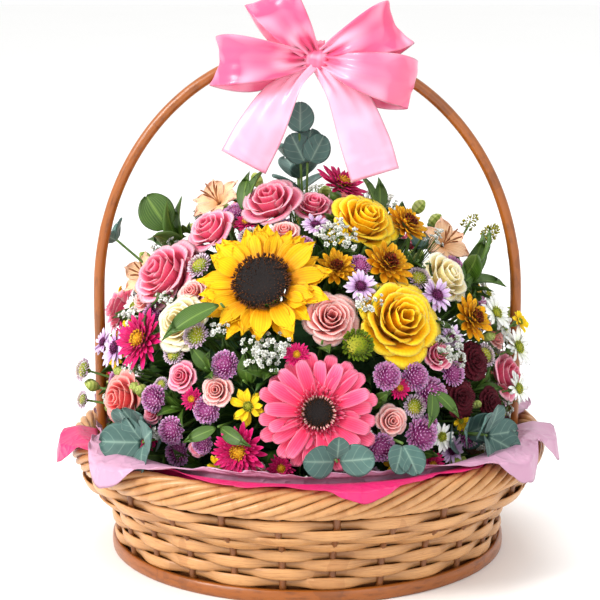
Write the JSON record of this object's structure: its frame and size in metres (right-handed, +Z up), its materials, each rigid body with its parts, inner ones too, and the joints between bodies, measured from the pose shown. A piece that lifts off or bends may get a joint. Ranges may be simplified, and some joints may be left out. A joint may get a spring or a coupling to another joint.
{
  "type": "flower basket arrangement",
  "caption": "Round willow basket with an arched cane handle, satin bow and paper collars, filled with a dense mound of mixed cut flowers standing in wet foam.",
  "frame": {"origin": "centre of the flat underside of the basket's base", "axes": "+Z up, -Y is the front that the bow faces, the handle arches over the X axis"},
  "size_m": [0.3969, 0.3955, 0.4628],
  "materials": {
    "willow": "satin",
    "cane": "gloss",
    "liner": "gloss",
    "wet_foam": "matte",
    "pink_paper": "matte",
    "lilac_paper": "matte",
    "satin": "satin",
    "sunflower_petal": "matte",
    "sunflower_disc": "matte",
    "gerbera_petal": "matte",
    "gerbera_disc": "matte",
    "yellow_petal": "matte",
    "blush_petal": "matte",
    "pink_petal": "matte",
    "salmon_petal": "matte",
    "cream_petal": "matte",
    "magenta_petal": "matte",
    "bronze_petal": "matte",
    "lilac_floret": "matte",
    "pale_floret": "matte",
    "green_floret": "matte",
    "purple_white_petal": "matte",
    "white_petal": "matte",
    "lemon_petal": "matte",
    "burgundy_petal": "matte",
    "peach_petal": "matte",
    "tiny_white_floret": "matte",
    "eucalyptus_leaf": "matte",
    "green_leaf": "satin",
    "golden_floret": "matte"
  },
  "bodies": {
    "root": {"alstroemeria_left": "peach_petal", "alstroemeria_right": "peach_petal", "alstroemeria_top": "peach_petal", "aster_left": "magenta_petal", "aster_low": "magenta_petal", "aster_top": "magenta_petal", "basket_base": "willow", "basket_wall": "willow", "bronze_mum_right": "bronze_petal", "bronze_mums_back": "bronze_petal", "bronze_mums_front": "bronze_petal", "buttons_left": "pale_floret", "carnations_right": "burgundy_petal", "cream_rose_left": "cream_petal", "cream_rose_right": "cream_petal", "eucalyptus_front": "eucalyptus_leaf", "eucalyptus_left": "eucalyptus_leaf", "eucalyptus_right": "eucalyptus_leaf", "eucalyptus_top": "eucalyptus_leaf", "floral_foam": "wet_foam", "foot_hoop": "cane", "gerbera_disc": "gerbera_disc", "gerbera_rays": "gerbera_petal", "goldenrod": "golden_floret", "green_button": "green_floret", "gypsophila_back": "tiny_white_floret", "gypsophila_centre": "tiny_white_floret", "gypsophila_right": "tiny_white_floret", "gypsophila_top": "tiny_white_floret", "handle": "cane", "leaves_back": "green_leaf", "leaves_centre": "green_leaf", "leaves_left": "green_leaf", "leaves_right": "green_leaf", "lilac_paper": "lilac_paper", "lilac_paper_back": "lilac_paper", "liner_tray": "liner", "pink_paper": "pink_paper", "pink_rose_centre": "blush_petal", "pink_rose_far_left": "pink_petal", "pink_rose_left": "pink_petal", "pink_rose_right": "pink_petal", "pink_roses_back": "pink_petal", "pompons_back": "lilac_floret", "pompons_left": "lilac_floret", "pompons_right": "lilac_floret", "purple_daisies_right": "purple_white_petal", "purple_daisy_left": "purple_white_petal", "rim_border": "willow", "salmon_rose": "salmon_petal", "satin_bow": "satin", "spray_roses_top": "pink_petal", "sunflower_disc": "sunflower_disc", "sunflower_rays": "sunflower_petal", "white_daisies_back": "white_petal", "white_daisies_right": "white_petal", "yellow_daisies": "lemon_petal", "yellow_rose_back": "yellow_petal", "yellow_rose_high": "yellow_petal", "yellow_rose_low": "yellow_petal"}
  },
  "joints": []
}
